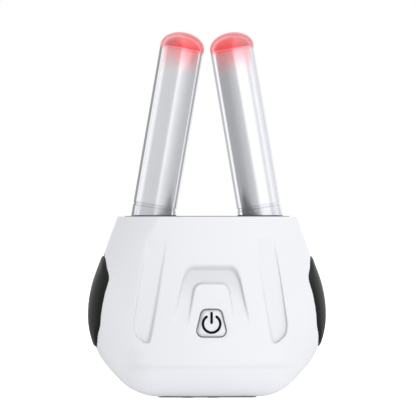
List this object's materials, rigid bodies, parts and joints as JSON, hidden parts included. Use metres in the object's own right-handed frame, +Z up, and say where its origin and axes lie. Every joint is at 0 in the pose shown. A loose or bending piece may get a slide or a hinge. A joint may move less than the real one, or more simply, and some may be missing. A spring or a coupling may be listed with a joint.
{
  "type": "light therapy device",
  "caption": "Hand-held nasal light therapy device: a white body with sprung side grips that spread two clear, red-tipped probes, and a power button.",
  "frame": {"origin": "on the floor under the middle of the body", "axes": "+Z up along the probes, +X to the right across the two probes, -Y out of the face with the power button"},
  "size_m": [0.0478, 0.0246, 0.0731],
  "materials": {
    "shell_white": "satin white moulding",
    "top_plate_grey": "fine-grained grey plate",
    "base_plate_dark": "dark matte plate",
    "contact_gold": "gold-plated pad",
    "grip_rubber": "soft-touch rubber",
    "seal_rubber": "soft black ring",
    "clear_plastic": "clear moulding",
    "core_silver": "satin silver tube",
    "lens_red": "translucent red light window",
    "led_clear": "red-lit chip",
    "symbol_black": "inlaid black mark",
    "frame_plastic": "moulded nylon",
    "board_green": "circuit board",
    "parts_black": "moulded component",
    "steel": "plated steel",
    "battery_foil": "foil pouch",
    "foam_dark": "adhesive foam",
    "lead_jacket": "insulated wire"
  },
  "bodies": {
    "housing": {"front_shell": "shell_white", "rear_shell": "shell_white", "top_plate": "top_plate_grey", "base_plate": "base_plate_dark", "charging_contacts": "contact_gold", "contact_board": "board_green", "front_frame": "frame_plastic", "rear_frame": "frame_plastic", "frame_screws": "steel", "top_screws": "steel", "main_board": "board_green", "board_parts": "parts_black", "board_screws": "steel", "power_switch": "parts_black", "battery": "battery_foil", "battery_pad": "foam_dark", "battery_leads": "lead_jacket", "charge_leads": "lead_jacket", "left_spring": "steel", "right_spring": "steel"},
    "power_button": {"power_button": "shell_white", "power_symbol": "symbol_black", "switch_plunger": "parts_black"},
    "left_arm": {"left_lever": "frame_plastic", "left_grip": "grip_rubber", "left_seal_ring": "seal_rubber", "left_collar": "clear_plastic", "left_core": "core_silver", "left_led_board": "board_green", "left_leds": "led_clear", "left_tip_lens": "lens_red", "left_sleeve": "clear_plastic", "left_lead": "lead_jacket"},
    "right_arm": {"right_lever": "frame_plastic", "right_grip": "grip_rubber", "right_seal_ring": "seal_rubber", "right_collar": "clear_plastic", "right_core": "core_silver", "right_led_board": "board_green", "right_leds": "led_clear", "right_tip_lens": "lens_red", "right_sleeve": "clear_plastic", "right_lead": "lead_jacket"}
  },
  "joints": [
    {"name": "power_button_press", "type": "slide", "parent": "housing", "child": "power_button", "axis": [0, 1, 0], "range_m": [0, 0.0004], "stiffness_N_per_m": 1500, "springref_m": -0.0002},
    {"name": "left_probe_hinge", "type": "hinge", "parent": "housing", "child": "left_arm", "pos_m": [-0.0116, 0, 0.0312], "axis": [0, -1, 0], "range_deg": [0, 5], "stiffness_Nm_per_rad": 0.15, "springref_deg": -5.73, "deforming": ["left_spring", "left_lead"]},
    {"name": "right_probe_hinge", "type": "hinge", "parent": "housing", "child": "right_arm", "pos_m": [0.0116, 0, 0.0312], "axis": [0, 1, 0], "range_deg": [0, 5], "stiffness_Nm_per_rad": 0.15, "springref_deg": -5.73, "deforming": ["right_spring", "right_lead"]}
  ]
}
